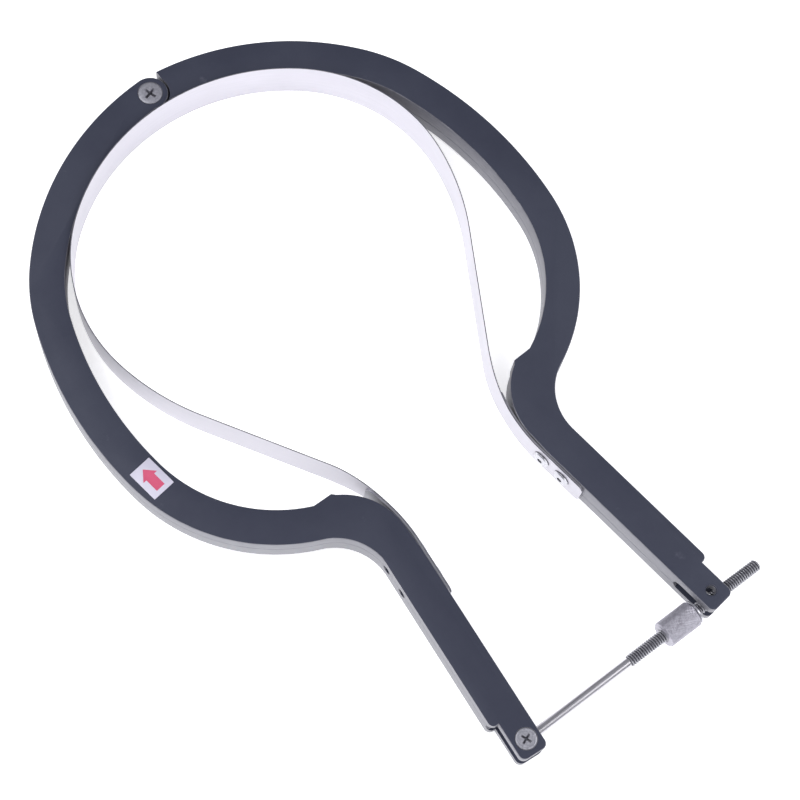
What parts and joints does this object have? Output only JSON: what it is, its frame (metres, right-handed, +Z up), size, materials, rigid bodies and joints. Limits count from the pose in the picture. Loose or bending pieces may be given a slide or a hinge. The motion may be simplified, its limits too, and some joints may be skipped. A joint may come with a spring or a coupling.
{
  "type": "hinged ring band clamp",
  "caption": "Two-arm ring clamp: curved plate arms hinged at the top hold a thin steel band loop, drawn shut by a knurled nut on a threaded rod across the handle ends.",
  "frame": {"origin": "centre of the tool's footprint, on the plane of the band's lower edges that the tool lies on", "axes": "+X toward the right arm, +Y from the handles toward the hinge, +Z up out of the labelled face"},
  "size_m": [0.2614, 0.3859, 0.023],
  "materials": {
    "arm_steel": "dark blue-grey coated faces with plain ground edges",
    "band_steel": "bright rolled spring strip",
    "strap_steel": "plain strip",
    "screw_zinc": "zinc-plated screw",
    "rod_steel": "turned bright steel",
    "nut_steel": "knurled, zinc-plated",
    "washer_steel": "plain washer",
    "label_white": "smooth printed film",
    "label_red": "printed ink"
  },
  "bodies": {
    "left_side": {"left_arm": "arm_steel", "band_left": "band_steel", "strap_left": "strap_steel", "band_screws_left": "screw_zinc", "pivot_screw": "screw_zinc", "label_sheet": "label_white", "label_arrow": "label_red"},
    "right_side": {"right_arm": "arm_steel", "hinge_screw": "screw_zinc", "band_right": "band_steel", "strap_right": "strap_steel", "band_screws_right": "screw_zinc"},
    "rod": {"tension_rod": "rod_steel"},
    "washer": {"thrust_washer": "washer_steel"},
    "nut": {"knurled_nut": "nut_steel"}
  },
  "joints": [
    {"name": "arm_hinge", "type": "hinge", "parent": "left_side", "child": "right_side", "pos_m": [0, 0.184, 0.0115], "axis": [0, 0, 1], "range_deg": [-3.2, 3]},
    {"name": "rod_swing", "type": "hinge", "parent": "left_side", "child": "rod", "pos_m": [-0.05701, -0.18385, 0.0115], "axis": [0, 0, 1], "range_deg": [-1.6, 1.5]},
    {"name": "nut_travel", "type": "slide", "parent": "rod", "child": "washer", "axis": [0.9997, -0.0244, 0], "range_m": [-0.0205, 0.0192]},
    {"name": "nut_spin", "type": "hinge", "parent": "washer", "child": "nut", "pos_m": [0.03297, -0.18605, 0.0115], "axis": [0.9997, -0.0244, 0], "range_deg": [-5800, 5440]}
  ],
  "couplings": [
    {"joint": "rod_swing", "follows": "arm_hinge", "ratio": 0.5},
    {"joint": "nut_travel", "follows": "arm_hinge", "m_per_rad": 0.366},
    {"joint": "nut_spin", "follows": "arm_hinge", "ratio": 1810.7}
  ]
}
